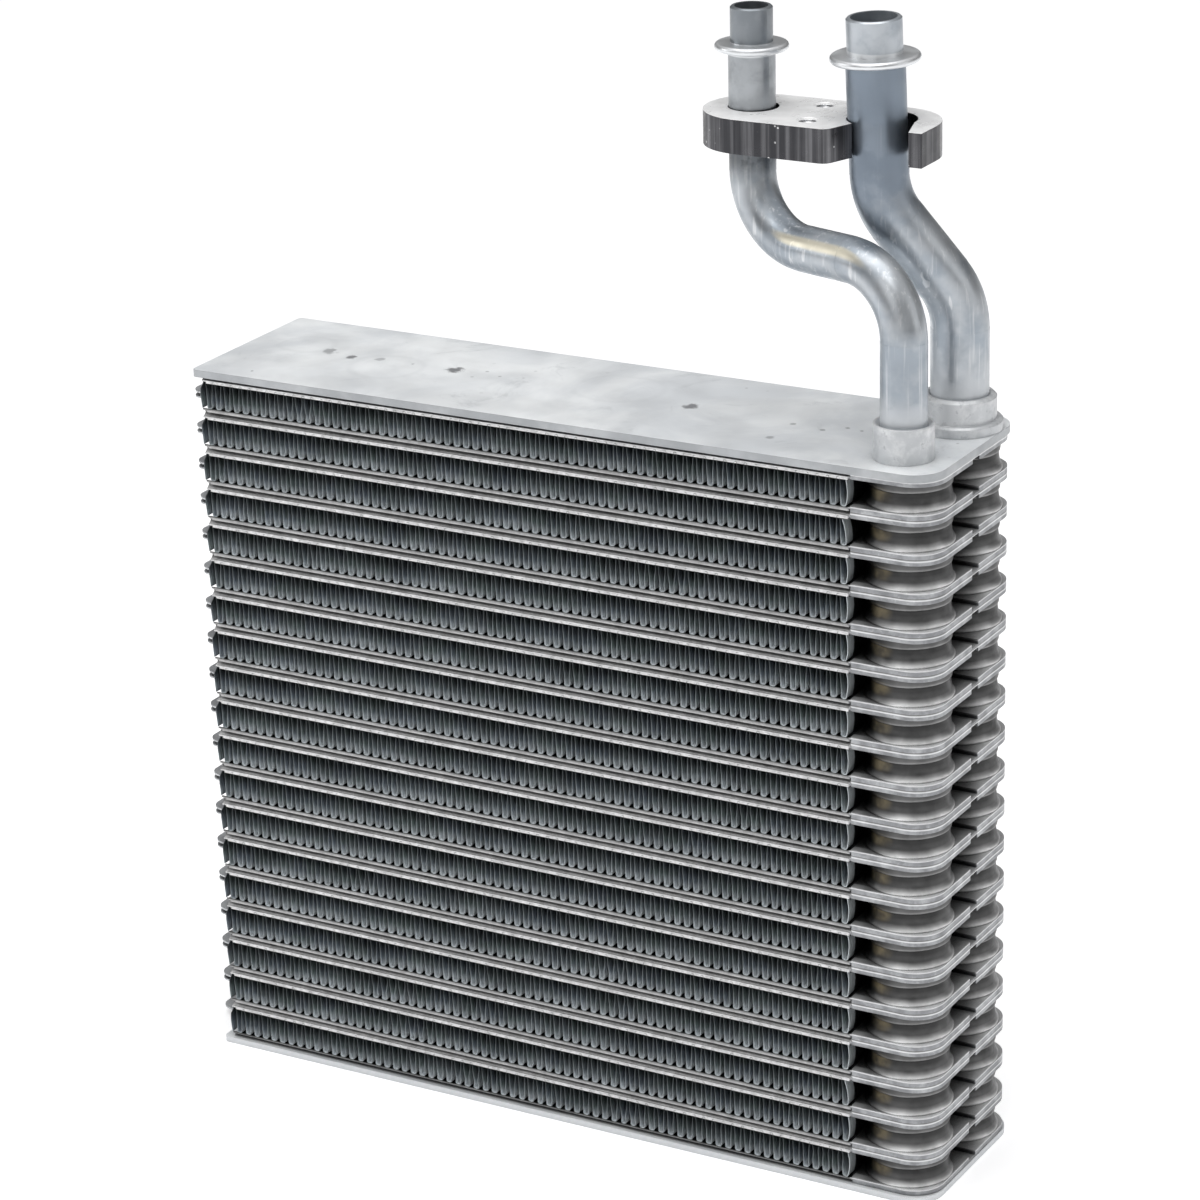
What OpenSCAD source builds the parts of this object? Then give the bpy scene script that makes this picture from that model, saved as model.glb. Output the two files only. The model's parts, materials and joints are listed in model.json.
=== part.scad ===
// Evaporator core for a vehicle air conditioner: drawn plates and folded fins in a stack,
// two end plates, two bent pipes and the block that holds the pipe ends together.
// X runs along the core with the tanks at +X, Y runs back through its depth, Z is up.
// The origin is the middle of the underside of the bottom end plate.

/* [Core] */
// Length of the end plates, from the closed ends to the tanks
core_length = 231.6; // [200:0.2:300]
// Depth of the end plates, in the direction of the air
core_depth = 58; // [54:1:80]
// Number of fin rows, one more than the plate pairs
fin_rows = 19; // [4:1:22]
// Height of one fin row
fin_height = 8.1; // [7:0.1:11]
// Thickness of one brazed plate pair
pair_thickness = 2.8; // [2.4:0.1:3.6]

/* [End plates] */
// Thickness of the top end plate
top_plate_thickness = 2.2; // [1.5:0.1:4]
// Thickness of the bottom end plate
bottom_plate_thickness = 1.8; // [1.5:0.1:4]
// Radius of the plate corners at the tanks
tank_corner_radius = 9; // [5:0.5:12]
// Radius of the corners at the closed ends
closed_corner_radius = 1.5; // [1:0.5:6]
// How far the end plates reach past the fins at the closed ends
end_overhang = 2.6; // [0.5:0.1:5]
// How far the end plates reach past the plates at the front and back
side_overhang = 1.2; // [0:0.1:3]

/* [Drawn plates] */
// Thickness of the plate metal
sheet = 0.45; // [0.3:0.05:0.6]
// Width of the flared lip along each long edge
lip_width = 1.3; // [1:0.1:2]
// Width of each brazed land
land_width = 1.6; // [1:0.1:3]
// Width of the slope between a land and the raised web
slope_width = 1.3; // [0.8:0.1:2]
// Width of the divider between the two flow channels
divider_width = 3; // [2:0.5:6]
// Length of the opening where the coolant turns back
turn_length = 12; // [8:1:20]
// Width of the tongue at the closed end
tongue_width = 27.6; // [16:0.2:34]
// Length of the tongue at the closed end
tongue_length = 13.9; // [6:0.1:16]
// How far each half of the tongue is spread at its tip
tongue_spread = 0.7; // [0.1:0.1:0.8]
// Corner radius of the tongue
tongue_radius = 4; // [2:0.5:6]

/* [Tanks] */
// Height of one half of the tank flange
flange_height = 1.65; // [1.3:0.05:2]
// Width of the groove between the two tanks
groove_width = 4.4; // [2:0.2:5]
// Distance from the foot of a neck to the sides of its flange
neck_margin = 0.6; // [0.4:0.1:2]
// Radius of the fillet at the foot of a neck
neck_fillet = 1.2; // [0.8:0.1:1.4]
// How much wider the cup that points up is than the neck that points down
cup_step = 0.7; // [0.6:0.1:1]
// Width of the lip at the mouth of a cup
cup_lip_width = 2; // [1.4:0.1:4]

/* [Fins] */
// Distance between two like folds
fin_pitch = 3.04; // [2.4:0.01:4.5]
// Thickness of the fin metal
fin_sheet = 0.14; // [0.08:0.01:0.2]
// Width of the flat crest of a fold
crest_width = 0.75; // [0.4:0.05:0.9]

/* [Pipes] */
// Outer diameter of the small pipe
small_od = 12.7; // [10:0.1:14]
// Outer diameter of the large pipe
large_od = 15.9; // [14:0.1:18]
// Wall of both pipes
pipe_wall = 1.2; // [0.8:0.1:1.8]
// Bend radius of the small pipe
small_bend = 19; // [16:0.5:22]
// Bend radius of the large pipe
large_bend = 24; // [20:0.5:28]
// Distance between the pipe ends along the core
pipe_spacing = 35.8; // [34:0.2:40]
// Distance from the small pipe's end to its tank, along the core
small_reach = 53.3; // [48:0.1:60]
// Height of the level run of the small pipe above the top end plate
small_run_height = 50.8; // [44:0.2:56]
// Height of the middle of the large pipe's slanted run above the top end plate
large_run_height = 50.5; // [46:0.5:56]
// Turn of the large pipe's slanted run, in degrees from upright
large_turn = 37; // [32:0.5:45]
// Lean of the large pipe's end, in degrees
large_lean = 2; // [0:0.5:4]
// How far the small pipe leaves its tank off centre, along the core
small_foot_shift = -1.7; // [-2:0.1:2]
// How far the large pipe leaves its tank off centre, along the core
large_foot_shift = 0.6; // [-2:0.1:2]
// Height of the pipe ends above the top end plate
pipe_height = 114.4; // [108:0.2:124]
// Distance from the pipe ends down to the middle of the beads
bead_depth = 10.9; // [9:0.1:14]
// Diameter of the small pipe's bead
small_bead_od = 20; // [18:0.1:24]
// Diameter of the large pipe's bead
large_bead_od = 24.2; // [21:0.1:28]
// Thickness of the beads
bead_thickness = 2.1; // [1.5:0.1:3]
// Diameter of the small pipe above its bead
small_end_od = 11.5; // [9:0.1:12]
// Diameter of the large pipe above its bead
large_end_od = 14.9; // [12:0.1:15]

/* [Sockets] */
// Height of the sockets on the top end plate
socket_height = 9.8; // [8:0.2:14]
// Wall of the small pipe's socket
small_socket_wall = 1.85; // [1.2:0.05:3]
// Wall of the large pipe's socket
large_socket_wall = 2.1; // [1.2:0.05:3]
// Diameter of the collar under the large pipe's socket
collar_od = 23.6; // [22:0.2:24]
// Height of that collar
collar_height = 3; // [2:0.2:5]
// Brazing gap between a pipe and its socket
braze_gap = 0.05; // [0.02:0.01:0.15]

/* [Retaining block] */
// Depth of the block, twice the radius of its round ends
block_depth = 31.2; // [28:0.2:36]
// Thickness of the block
block_thickness = 9.3; // [6:0.1:14]
// Height of the block's top above the top end plate
block_height = 87; // [80:0.5:92]
// Play of the small pipe in its hole
hole_play = 0.55; // [0.2:0.05:1]
// Diameter of the two tapped holes
tapped_hole_d = 5; // [4:0.1:6]
// Distance between the two tapped holes
tapped_hole_gap = 17.4; // [15:0.2:20]
// Turn of the line through the tapped holes, in degrees
tapped_hole_turn = 11; // [0:1:20]
// Depth of the countersink of the tapped holes
countersink = 0.5; // [0.2:0.1:1]

/* [Hidden] */
$fn = 96;
half_pair = pair_thickness / 2;
row_pitch = fin_height + pair_thickness;
stack_bottom = bottom_plate_thickness;
stack_top = stack_bottom + fin_rows * row_pitch;
top_face = stack_top + top_plate_thickness;

// Plan sizes of the drawn plates
plate_depth = core_depth - 2 * side_overhang;
plate_left = -core_length / 2 + end_overhang;
plate_inset = 0.2;
plate_right = core_length / 2 - plate_inset;

// Tanks: each flange is as wide as the plates leave room for, and its necks fill it
tank_half = (plate_depth - groove_width) / 4;
tank_outward = 0.3;
tank_end_gap = 0.1;
heel_cut = 0.5;
neck_foot = tank_half - neck_margin;
neck_radius = neck_foot - neck_fillet - cup_step;
tank_bore = neck_radius + cup_step - cup_lip_width;
tank_x = plate_right - neck_foot - tank_end_gap;
tank_y = plate_depth / 2 - tank_half + tank_outward;
tank_left = tank_x - neck_foot + heel_cut;
tank_length = plate_right - tank_left;
tank_bend = min(tank_corner_radius, plate_depth / 4);

// Widths across the drawn plates, from an edge inwards
rim_width = lip_width + land_width + slope_width;
lip_flat = 0.35;

// Small radius of the drawn plates' tank end beside the fins
heel_radius = 0.6;
// Straight root of a tongue before it spreads
tongue_root = 1.5;
// How far a tongue reaches into its plate
tongue_hold = 0.5;

// Folded fins: whole folds only, centred between the closed end and the tanks
fin_gap = 0.35;
fin_end = tank_x - neck_foot - fin_gap;
fold_count = floor((fin_end - plate_left) / fin_pitch);
fin_left = plate_left + (fin_end - plate_left - fold_count * fin_pitch) / 2;

// Necks meet half-way between two pairs
neck_height = half_pair + fin_height / 2;
neck_wall = 0.6;
cup_lip = 0.6;

// Pipe routes: each pipe rises from its tank, goes aside and rises again
pipe_y = 0;
pipe_top = top_face + pipe_height;
small_x = tank_x - small_reach;
large_x = small_x + pipe_spacing;
socket_stop = 1.5;
small_mouth = 1.1;
small_shoulder = 0.2;
large_mouth = 0.4;
large_shoulder = 0.8;
collar_bevel = 0.6;
bead_hold = 0.4;
bend_thinning = 0.05;
bend_overlap = 0.3;
end_round = 0.4;
small_foot = [tank_x + small_foot_shift, -tank_y, top_face + socket_stop];
small_aim = atan2(pipe_y - small_foot[1], small_x - small_foot[0]);
small_aside = norm([small_x - small_foot[0], pipe_y - small_foot[1]]);
small_legs = [
    small_run_height - socket_stop - small_bend,
    small_aside - 2 * small_bend,
    pipe_height - small_run_height - small_bend
];
large_foot = [tank_x + large_foot_shift, tank_y, top_face + socket_stop];
large_aim = atan2(pipe_y - large_foot[1], large_x - large_foot[0]);
large_aside = norm([large_x - large_foot[0], pipe_y - large_foot[1]]);

// The slanted run and the end run of the large pipe follow from how far they reach
bends_aside = large_bend * (1 + cos(large_lean) - 2 * cos(large_turn));
upper_rise = pipe_height - large_run_height - large_bend * (sin(large_turn) - sin(large_lean));
end_run = (upper_rise - (large_aside - bends_aside) / tan(large_turn) / 2)
    / (cos(large_lean) - sin(large_lean) / tan(large_turn) / 2);
slanted_run = (large_aside - bends_aside - end_run * sin(large_lean)) / sin(large_turn);
large_legs = [
    large_run_height - socket_stop - large_bend * sin(large_turn)
        - slanted_run * cos(large_turn) / 2,
    slanted_run,
    end_run
];

// Retaining block, with its round ends set off from the pipes
block_top = top_face + block_height;
block_bottom = block_top - block_thickness;
block_round = block_depth / 2;
block_left_x = small_x + 3.1;
block_right_x = large_x + 2.9;
block_y = -0.8;
hole_shift = 0.4;

// Hook: a round pocket and a slot that widens towards its mouth
pocket_play = 1.5;
pocket_shift = 1.2;
pocket = large_od / 2 + pocket_play;
lean_at_block = (pipe_height - block_height + block_thickness / 2) * tan(large_lean);
pocket_x = large_x - lean_at_block * cos(large_aim) + pocket_shift;
pocket_y = pipe_y - lean_at_block * sin(large_aim);
hook_tip_y = -11.5;
hook_tip_round = 1.4;
slot_round = 3;
slot_left = [[-5.75, -7], [-9.35, -17]];
slot_right = [[12.2, -17], [12.2, hook_tip_y], [8.5, pocket_y]];
slot_lean = atan((slot_left[0][0] - slot_left[1][0]) / (slot_left[0][1] - slot_left[1][1]));
slot_round_y = block_y - block_round + slot_round;
slot_round_x = slot_left[0][0] + (slot_round_y - slot_left[0][1]) * tan(slot_lean)
    - slot_round / cos(slot_lean);

// Middle of the two tapped holes
tapped_x = (block_left_x + block_right_x) / 2 - 2;
tapped_y = block_y + 1;

// Cuts reach this far past a face
past = 1;

function two_digits(k) = k < 10 ? str("0", k) : str(k);
function pair_z(k) = stack_bottom + k * row_pitch;
function fin_z(k) = stack_bottom + half_pair + (k - 1) * row_pitch;

// Rectangle from x0 to x1, centred on Y, with round corners at each end
module rounded_strip(x0, x1, depth, r0, r1) {
    translate([x0, -depth / 2 + r0]) square([r0 + 0.01, depth - 2 * r0]);
    translate([x0 + r0, -depth / 2]) square([x1 - x0 - r0 - r1, depth]);
    translate([x1 - r1 - 0.01, -depth / 2 + r1]) square([r1 + 0.01, depth - 2 * r1]);
    for (side = [-1, 1]) {
        translate([x0 + r0, side * (depth / 2 - r0)]) circle(r0);
        translate([x1 - r1, side * (depth / 2 - r1)]) circle(r1);
    }
}

// Section of one drawn half across the core, with its edge lips, lands and webs
function edge_line(s) = [
    [0, half_pair], [lip_flat, half_pair], [lip_width, s], [lip_width + land_width, s],
    [rim_width, half_pair]
];
function web_line(s, divided) = divided ? [
    [plate_depth / 2 - divider_width / 2 - slope_width, half_pair],
    [plate_depth / 2 - divider_width / 2, s],
    [plate_depth / 2 + divider_width / 2, s],
    [plate_depth / 2 + divider_width / 2 + slope_width, half_pair]
] : [];
function reversed(points) = [for (i = [len(points) - 1:-1:0]) points[i]];
function across(points) = [for (p = reversed(points)) [plate_depth - p[0], p[1]]];
function sheet_line(divided) =
    concat(edge_line(sheet), web_line(sheet, divided), across(edge_line(sheet)));
function sheet_section(divided) = concat(
    sheet_line(divided),
    [for (p = reversed(sheet_line(divided))) [p[0], p[1] - sheet]]
);

module channel(x0, x1, divided) {
    translate([x0, -plate_depth / 2, 0])
        rotate([90, 0, 90])
            linear_extrude(x1 - x0) polygon(sheet_section(divided));
}

// Closed end between the two long edges, with the slope down to the brazed land
module closed_end() {
    translate([plate_left, plate_depth / 2 - rim_width, 0])
        rotate([90, 0, 0])
            linear_extrude(plate_depth - 2 * rim_width)
                polygon([
                    [0, 0], [land_width, 0], [land_width + slope_width, half_pair - sheet],
                    [rim_width, half_pair - sheet], [rim_width, half_pair],
                    [land_width + slope_width, half_pair], [land_width, sheet], [0, sheet]
                ]);
}

// One half of the tongue, spread away from its partner
module tongue() {
    tip = tongue_length + tongue_hold;
    intersection() {
        translate([plate_left + tongue_hold, tongue_width / 2, 0])
            rotate([90, 0, 0])
                linear_extrude(tongue_width)
                    polygon([
                        [0, 0], [-tongue_root, 0], [-tip, tongue_spread],
                        [-tip, tongue_spread + sheet], [-tongue_root, sheet], [0, sheet]
                    ]);
        linear_extrude(half_pair)
            rounded_strip(plate_left - tongue_length, plate_left + 2 * tongue_radius,
                          tongue_width, tongue_radius, tongue_radius / 2);
    }
}

// Plan of both tank flanges together, drawn in from their rim by a margin
module tank_plan(margin) {
    rounded_strip(tank_left + margin, plate_right - margin, plate_depth - 2 * margin,
                  heel_radius, tank_bend - margin);
}

// Tank flange of one half: a shallow tray round each tank, with a groove between them
// and an opening from each flow channel
module tank_flange() {
    opening = plate_depth / 2 - divider_width / 2 - slope_width - rim_width;
    difference() {
        linear_extrude(flange_height) tank_plan(0);
        translate([0, 0, -past])
            linear_extrude(flange_height - sheet + past)
                difference() {
                    tank_plan(sheet);
                    translate([tank_left, -groove_width / 2 - sheet])
                        square([tank_length, groove_width + 2 * sheet]);
                }
        translate([tank_left - past, -groove_width / 2, sheet])
            cube([tank_length + 2 * past, groove_width, flange_height]);
        for (side = [-1, 1])
            translate([tank_left - past, side * (plate_depth / 2 - rim_width - opening / 2) - opening / 2,
                       -past])
                cube([sheet + 2 * past, opening, half_pair - sheet + past]);
    }
}

// Neck of a tank from the flange up to the joint, with a concave fillet at its foot
module neck(radius, lipped) {
    rotate_extrude() {
        translate([radius - neck_wall, flange_height - sheet])
            square([neck_wall, neck_height - flange_height + sheet]);
        difference() {
            translate([radius - neck_wall, flange_height - sheet])
                square([neck_wall + neck_fillet, neck_fillet + sheet]);
            translate([radius + neck_fillet, flange_height + neck_fillet])
                circle(neck_fillet);
        }
        if (lipped)
            translate([tank_bore, neck_height - cup_lip])
                square([radius - tank_bore, cup_lip]);
    }
}

// Half of a plate pair, lying on its brazed face with its tanks upwards
module half_plate(radius, lipped, tongued) {
    difference() {
        union() {
            channel(plate_left, plate_left + turn_length, false);
            channel(plate_left + turn_length, tank_left + sheet, true);
            closed_end();
            tank_flange();
        }
        for (side = [-1, 1])
            translate([tank_x, side * tank_y, -past])
                cylinder(r = radius - neck_wall, h = neck_height);
    }
    for (side = [-1, 1])
        translate([tank_x, side * tank_y, 0]) neck(radius, lipped);
    if (tongued) tongue();
}

module upper_half() {
    half_plate(neck_radius + cup_step, true, true);
}

module lower_half(tongued) {
    mirror([0, 0, 1]) half_plate(neck_radius, false, tongued);
}

module plate_pair(k) {
    color([0.72, 0.73, 0.74]) translate([0, 0, pair_z(k)]) {
        upper_half();
        lower_half(true);
    }
}

module bottom_half_plate() {
    color([0.72, 0.73, 0.74]) translate([0, 0, stack_bottom]) upper_half();
}

module top_half_plate() {
    color([0.70, 0.71, 0.72]) translate([0, 0, stack_top]) lower_half(false);
}

// One sheet folded to and fro between two plates
module fin(k) {
    rise = fin_height / 2;
    slant = fin_sheet * (fin_pitch / 2 - crest_width) / fin_height;
    wall = fin_sheet / 2 + slant;
    quarter = fin_pitch / 4;
    upper = [for (i = [0:2 * fold_count - 1], e = [-1, 1])
        let (up = i % 2 == 0, x = (2 * i + 1) * quarter)
        [x + e * (crest_width / 2 + (up ? wall : -wall)), up ? rise : fin_sheet - rise]];
    lower = [for (i = [0:2 * fold_count - 1], e = [-1, 1])
        let (up = i % 2 == 0, x = (2 * i + 1) * quarter)
        [x + e * (crest_width / 2 - (up ? wall : -wall)), up ? rise - fin_sheet : -rise]];
    color([0.50, 0.54, 0.57])
        translate([fin_left, plate_depth / 2, fin_z(k) + rise])
            rotate([90, 0, 0])
                linear_extrude(plate_depth) polygon(concat(upper, reversed(lower)));
}

module end_plate(thickness) {
    linear_extrude(thickness)
        rounded_strip(-core_length / 2, core_length / 2, core_depth,
                      closed_corner_radius, tank_corner_radius);
}

module bottom_end_plate() {
    color([0.68, 0.70, 0.72]) end_plate(bottom_plate_thickness);
}

module top_end_plate() {
    color([0.68, 0.70, 0.72])
        difference() {
            translate([0, 0, stack_top]) end_plate(top_plate_thickness);
            translate([small_foot[0], small_foot[1], stack_top - past])
                cylinder(d = small_od - 2 * pipe_wall, h = top_plate_thickness + 2 * past);
            translate([large_foot[0], large_foot[1], stack_top - past])
                cylinder(d = large_od - 2 * pipe_wall, h = top_plate_thickness + 2 * past);
        }
}

// Turned socket that a pipe is brazed into, with a stop for the pipe's end, a flared mouth
// and a bevelled shoulder
module socket(pipe_od, wall, mouth, shoulder) {
    passage = pipe_od / 2 - pipe_wall;
    bore = pipe_od / 2 + braze_gap;
    outer = pipe_od / 2 + wall;
    rotate_extrude()
        polygon([
            [passage, 0], [outer, 0], [outer, socket_height - shoulder],
            [outer - shoulder, socket_height], [bore + mouth, socket_height],
            [bore, socket_height - mouth], [bore, socket_stop], [passage, socket_stop]
        ]);
}

module collar() {
    inside = large_od / 2 + large_socket_wall / 2;
    rotate_extrude()
        polygon([
            [inside, 0], [collar_od / 2, 0], [collar_od / 2, collar_height - collar_bevel],
            [collar_od / 2 - collar_bevel, collar_height], [inside, collar_height]
        ]);
}

module small_pipe_socket() {
    color([0.66, 0.67, 0.68])
        translate([small_foot[0], small_foot[1], top_face])
            socket(small_od, small_socket_wall, small_mouth, small_shoulder);
}

module large_pipe_socket() {
    color([0.66, 0.67, 0.68])
        translate([large_foot[0], large_foot[1], top_face]) {
            socket(large_od, large_socket_wall, large_mouth, large_shoulder);
            collar();
        }
}

// Straight run of tube along +Y, reaching a little into the bend at each end that has one
module tube_run(length, outer, inner, before = 0, after = 0) {
    translate([0, -before, 0])
        rotate([-90, 0, 0])
            difference() {
                cylinder(r = outer, h = length + before + after);
                translate([0, 0, -past])
                    cylinder(r = inner, h = length + before + after + 2 * past);
            }
}

// Tube that starts along +Y and turns towards +X, with a wall thinned by the bending;
// its children carry on from its end
module tube_bend(turn, bend_radius, outer, inner) {
    translate([bend_radius, 0, 0]) {
        rotate([0, 0, 180 - turn])
            rotate_extrude(angle = turn)
                translate([bend_radius, 0])
                    difference() {
                        circle(outer - bend_thinning);
                        circle(inner + bend_thinning);
                    }
        rotate([0, 0, -turn]) translate([-bend_radius, 0, 0]) children();
    }
}

// Last run of a pipe: a bead with a round rim near its end, and a smaller end above it
module tube_end(length, outer, inner, bead_outer, end_outer) {
    bead_middle = length - bead_depth;
    bead_low = bead_middle - bead_thickness / 2;
    bead_high = bead_middle + bead_thickness / 2;
    rim = bead_outer - bead_thickness / 2;
    rotate([-90, 0, 0])
        rotate_extrude() {
            polygon([
                [inner, -bend_overlap], [outer, -bend_overlap], [outer, bead_low],
                [rim, bead_low], [rim, bead_high],
                [end_outer, bead_high], [end_outer, length - end_round],
                [end_outer - end_round, length], [end_outer - pipe_wall, length],
                [end_outer - pipe_wall, bead_high], [inner, bead_low]
            ]);
            intersection() {
                translate([rim, bead_middle]) circle(bead_thickness / 2);
                translate([rim - bead_hold, bead_low]) square([bead_thickness, bead_thickness]);
            }
        }
}

// Pipe that rises, turns aside by the first angle and back by the second
module pipe(foot, aim, legs, turns, bend_radius, od, bead_od, end_od) {
    outer = od / 2;
    inner = outer - pipe_wall;
    translate(foot) rotate([90, 0, aim]) {
        tube_run(legs[0], outer, inner, after = bend_overlap);
        translate([0, legs[0], 0])
            tube_bend(turns[0], bend_radius, outer, inner) {
                tube_run(legs[1], outer, inner, before = bend_overlap, after = bend_overlap);
                translate([0, legs[1], 0])
                    mirror([1, 0, 0])
                        tube_bend(turns[1], bend_radius, outer, inner)
                            tube_end(legs[2], outer, inner, bead_od / 2, end_od / 2);
            }
    }
}

module small_pipe() {
    color([0.74, 0.76, 0.78])
        pipe(small_foot, small_aim, small_legs, [90, 90], small_bend,
             small_od, small_bead_od, small_end_od);
}

module large_pipe() {
    color([0.70, 0.73, 0.75])
        pipe(large_foot, large_aim, large_legs, [large_turn, large_turn - large_lean],
             large_bend, large_od, large_bead_od, large_end_od);
}

// Plan of the retaining block: a round end at the small pipe, a hook round the large one
module block_outline() {
    difference() {
        union() {
            translate([block_left_x, block_y]) circle(block_round);
            translate([block_left_x, block_y - block_round])
                square([block_right_x - block_left_x, block_depth]);
            translate([block_right_x, block_y]) circle(block_round);
            translate([block_right_x, hook_tip_y]) square([block_round, block_y - hook_tip_y]);
        }
        translate([small_x + hole_shift, pipe_y]) circle(d = small_od + 2 * hole_play);
        hook_opening();
    }
}

// Waste outside the arc that rounds the corner between the slot and the front face
module slot_corner() {
    reach = slot_round + past;
    translate([slot_round_x, slot_round_y])
        difference() {
            polygon([[0, 0], [0, -reach], [slot_round, -reach],
                     [reach * cos(slot_lean), -reach * sin(slot_lean)]]);
            circle(slot_round);
        }
}

// Opening of the hook, with the outer corner of its tip rounded off
module hook_opening() {
    translate([pocket_x, pocket_y]) circle(pocket);
    translate([block_right_x, 0]) {
        polygon(concat(slot_left, slot_right));
        slot_corner();
        translate([0, hook_tip_y - block_round]) square(block_round + past);
        translate([block_round - hook_tip_round, hook_tip_y])
            difference() {
                translate([0, -past]) square([hook_tip_round + past, hook_tip_round + past]);
                translate([0, hook_tip_round]) circle(hook_tip_round);
            }
    }
}

// Tapped hole, drawn as its drilled bore with a countersink at the top
module tapped_hole() {
    translate([0, 0, block_bottom - past])
        cylinder(d = tapped_hole_d, h = block_thickness + 2 * past);
    translate([0, 0, block_top - countersink])
        cylinder(d1 = tapped_hole_d, d2 = tapped_hole_d + 2 * countersink + 2 * past,
                 h = countersink + past);
}

module retaining_block() {
    color([0.62, 0.63, 0.65])
        difference() {
            translate([0, 0, block_bottom]) linear_extrude(block_thickness) block_outline();
            for (side = [-1, 1])
                translate([tapped_x - side * sin(tapped_hole_turn) * tapped_hole_gap / 2,
                           tapped_y + side * cos(tapped_hole_turn) * tapped_hole_gap / 2, 0])
                    tapped_hole();
        }
}

bottom_end_plate();
bottom_half_plate();
for (k = [1:fin_rows - 1])
    plate_pair(k);
for (k = [1:fin_rows])
    fin(k);
top_half_plate();
top_end_plate();
small_pipe_socket();
large_pipe_socket();
small_pipe();
large_pipe();
retaining_block();
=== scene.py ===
import json
import math
import random

import bmesh
import bpy
from mathutils import Matrix, Vector, noise


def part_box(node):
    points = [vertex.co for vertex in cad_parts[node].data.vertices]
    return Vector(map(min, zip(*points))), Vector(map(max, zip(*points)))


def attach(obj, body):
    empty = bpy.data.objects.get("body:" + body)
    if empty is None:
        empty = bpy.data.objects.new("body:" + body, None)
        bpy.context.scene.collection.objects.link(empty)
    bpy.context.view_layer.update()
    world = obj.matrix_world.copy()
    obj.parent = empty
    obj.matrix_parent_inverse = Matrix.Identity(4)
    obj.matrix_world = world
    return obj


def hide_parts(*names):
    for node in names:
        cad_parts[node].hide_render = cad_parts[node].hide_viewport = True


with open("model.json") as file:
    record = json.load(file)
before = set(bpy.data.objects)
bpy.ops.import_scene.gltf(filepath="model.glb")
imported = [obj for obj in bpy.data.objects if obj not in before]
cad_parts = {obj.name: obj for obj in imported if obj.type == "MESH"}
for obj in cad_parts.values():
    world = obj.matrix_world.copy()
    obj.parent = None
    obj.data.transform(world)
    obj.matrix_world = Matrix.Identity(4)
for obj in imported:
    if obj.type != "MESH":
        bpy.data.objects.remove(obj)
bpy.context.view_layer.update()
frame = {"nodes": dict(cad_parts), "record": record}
nodes = frame["nodes"]
mm = 0.001
print("frame loaded:", len(nodes), "nodes")

# Places that the surfaces share, all read from the frame
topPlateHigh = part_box("top_end_plate")[1]
bottomPlateLow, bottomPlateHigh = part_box("bottom_end_plate")
finNames = sorted(name for name in nodes if name.startswith("fin_"))
pairNames = sorted(name for name in nodes if name.startswith("plate_pair_"))
firstFinLow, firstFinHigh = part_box(finNames[0])
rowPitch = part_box(finNames[1])[0].z - firstFinLow.z
stackBottom = bottomPlateHigh.z
frontEdge = firstFinLow.y
holeSet = next(mount for mount in frame["record"]["mounts"] if mount["name"] == "tapped_holes")
holeTurn = math.radians(11)  # how far the two tapped holes are turned from the part's depth
holeArm = Vector((-math.sin(holeTurn), math.cos(holeTurn), 0)) * holeSet["dims"]["pcd_mm"] / 2 * mm
tappedHoles = [Vector(holeSet["pos_m"]) + holeArm, Vector(holeSet["pos_m"]) - holeArm]


# Node helpers
def addNode(tree, kind, settings, inputs):
    made = tree.nodes.new("ShaderNode" + kind)
    for name, value in settings.items():
        setattr(made, name, value)
    for name, value in inputs.items():
        if isinstance(value, bpy.types.NodeSocket):
            tree.links.new(value, made.inputs[name])
        else:
            made.inputs[name].default_value = value
    return made


def startMaterial(name, metallic, roughness=0.5):
    material = bpy.data.materials.new(name)
    material.use_nodes = True
    tree = material.node_tree
    shader = tree.nodes["Principled BSDF"]
    shader.inputs["Metallic"].default_value = metallic
    shader.inputs["Roughness"].default_value = roughness
    place = tree.nodes.new("ShaderNodeTexCoord").outputs["Object"]
    return material, tree, shader, place


def calc(tree, operation, first, second=0.0):
    return addNode(tree, "Math", {"operation": operation}, {0: first, 1: second}).outputs[0]


def times(tree, product, *factors):
    for factor in factors:
        product = calc(tree, "MULTIPLY", product, factor)
    return product


def distance(tree, first, second):
    return addNode(tree, "VectorMath", {"operation": "DISTANCE"}, {0: first, 1: second}).outputs["Value"]


def surfaceNormal(tree):
    return tree.nodes.new("ShaderNodeNewGeometry").outputs["Normal"]


def rescale(tree, value, low, high, newLow=0.0, newHigh=1.0):
    inputs = {"Value": value, "From Min": low, "From Max": high, "To Min": newLow, "To Max": newHigh}
    return addNode(tree, "MapRange", {"interpolation_type": "SMOOTHSTEP"}, inputs).outputs[0]


def blendColors(tree, factor, first, second, how="MIX"):
    settings = {"data_type": "RGBA", "blend_type": how, "clamp_factor": True}
    return addNode(tree, "Mix", settings, {0: factor, 6: first, 7: second}).outputs[2]


def cloud(tree, place, scale, detail=3.0, rough=0.55, stretch=(1, 1, 1), shift=(0, 0, 0), twist=0.0):
    if tuple(stretch) != (1, 1, 1) or tuple(shift) != (0, 0, 0):
        place = addNode(tree, "Mapping", {}, {"Vector": place, "Scale": stretch, "Location": shift}).outputs[0]
    inputs = {"Vector": place, "Scale": scale, "Detail": detail, "Roughness": rough, "Distortion": twist}
    return addNode(tree, "TexNoise", {}, inputs).outputs[0]


def dots(tree, place, scale):
    # Distance to the nearest of some scattered dots
    return addNode(tree, "TexVoronoi", {"feature": "F1"}, {"Vector": place, "Scale": scale}).outputs["Distance"]


def unevenGloss(tree, place, gloss):
    # Gloss holds the pattern's scale and detail, and the lowest and highest roughness
    scale, detail, low, high = gloss
    return rescale(tree, cloud(tree, place, scale, detail), 0.3, 0.7, low, high)


def bumped(tree, height, strength, depth, after=None):
    inputs = {"Height": height, "Strength": strength, "Distance": depth}
    if after is not None:
        inputs["Normal"] = after
    return addNode(tree, "Bump", {}, inputs).outputs[0]


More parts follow.
